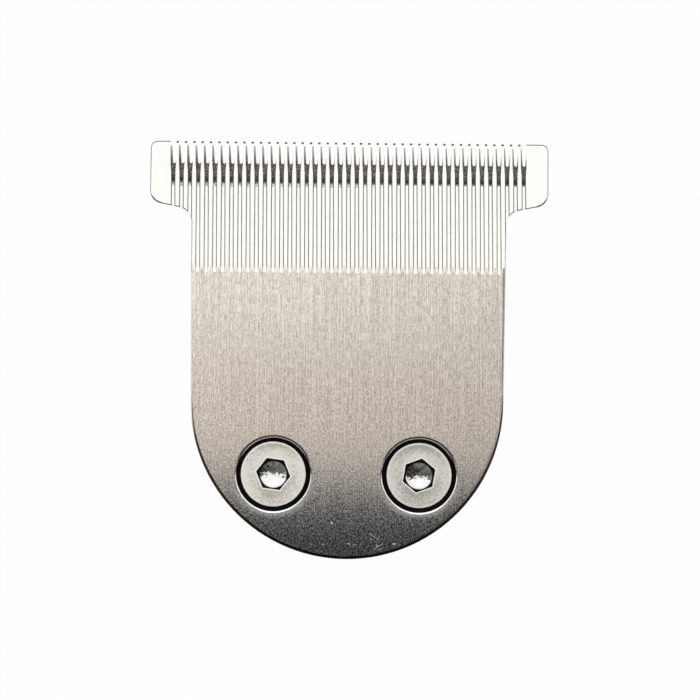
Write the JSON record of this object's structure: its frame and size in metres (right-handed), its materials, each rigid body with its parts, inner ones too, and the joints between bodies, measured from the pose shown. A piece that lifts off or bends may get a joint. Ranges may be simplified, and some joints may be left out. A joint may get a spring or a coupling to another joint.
{
  "type": "hair clipper blade",
  "caption": "T-shaped trimmer blade set: a steel comb plate over a sliding toothed cutter, screwed to a moulded holder with a drive fork and a leaf spring that presses the cutter up.",
  "frame": {"origin": "under the middle of the set's outline, in the plane of the holder's rim", "axes": "+Z out of the comb plate's outer face, +Y toward the tooth tips, X across the T"},
  "size_m": [0.04, 0.0418, 0.009],
  "materials": {
    "blade_steel": "lengthwise brushed",
    "cutter_steel": "dark ground",
    "fork_plastic": "natural moulded",
    "holder_plastic": "fine grained moulded",
    "spring_steel": "rolled strip",
    "screw_steel": "turned satin",
    "insert_brass": "turned"
  },
  "bodies": {
    "blade_set": {"fixed_blade": "blade_steel", "blade_holder": "holder_plastic", "pressure_spring": "spring_steel", "screw_left": "screw_steel", "screw_right": "screw_steel", "insert_left": "insert_brass", "insert_right": "insert_brass"},
    "cutter": {"moving_cutter": "cutter_steel", "drive_fork": "fork_plastic"}
  },
  "joints": [
    {"name": "cutter_slide", "type": "slide", "parent": "blade_set", "child": "cutter", "axis": [1, 0, 0], "range_m": [-0.00108, 0.00112]}
  ]
}
